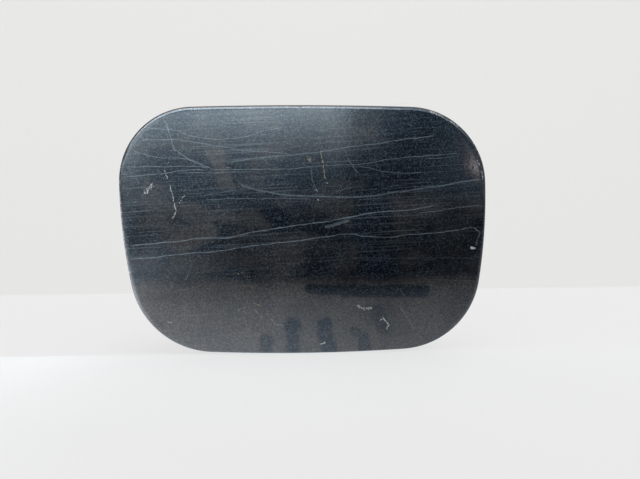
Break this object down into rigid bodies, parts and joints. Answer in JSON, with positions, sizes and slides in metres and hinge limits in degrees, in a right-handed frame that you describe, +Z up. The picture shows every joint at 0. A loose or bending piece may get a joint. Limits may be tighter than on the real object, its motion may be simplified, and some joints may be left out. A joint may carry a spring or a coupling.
{
  "type": "car fuel door",
  "caption": "Hinged fuel filler door: crowned steel skin hemmed round an inner panel, on a pin hinge with a detent leaf, striker, bump stops and cap hook.",
  "frame": {"origin": "midway between the two bolt holes, on the rear face of the hinge bracket that sits on the car body", "axes": "+X to the right seen from outside the car, from the hinge edge to the latch edge; +Y into the car; +Z up"},
  "size_m": [0.1901, 0.0425, 0.13],
  "materials": {
    "body_paint": "dark blue-black metallic under clear coat",
    "inner_paint": "thin dark paint over primer",
    "seam_sealer": "brushed seam sealer, painted over",
    "black_rubber": "matt",
    "nylon": "natural nylon",
    "black_coat": "black dip coat",
    "zinc_plate": "clear zinc plate",
    "spring_steel": "blued spring steel",
    "black_plastic": "fine grained moulding"
  },
  "bodies": {
    "bracket": {"hinge_bracket": "black_coat", "hinge_pin": "zinc_plate", "pin_washer": "zinc_plate", "pin_clip": "spring_steel", "detent_leaf": "spring_steel", "leaf_rivets": "zinc_plate"},
    "door": {"outer_skin": "body_paint", "inner_panel": "inner_paint", "hem_sealer": "seam_sealer", "antiflutter_pads": "black_rubber", "hinge_arm": "inner_paint", "upper_bush": "nylon", "lower_bush": "nylon", "latch_striker": "zinc_plate", "striker_rivets": "zinc_plate", "upper_bumper": "black_rubber", "lower_bumper": "black_rubber", "cap_hook": "black_plastic"}
  },
  "joints": [
    {"name": "door_hinge", "type": "hinge", "parent": "bracket", "child": "door", "pos_m": [-0.031, -0.027, 0], "axis": [0, 0, -1], "range_deg": [0, 90], "deforming": ["detent_leaf"]}
  ]
}
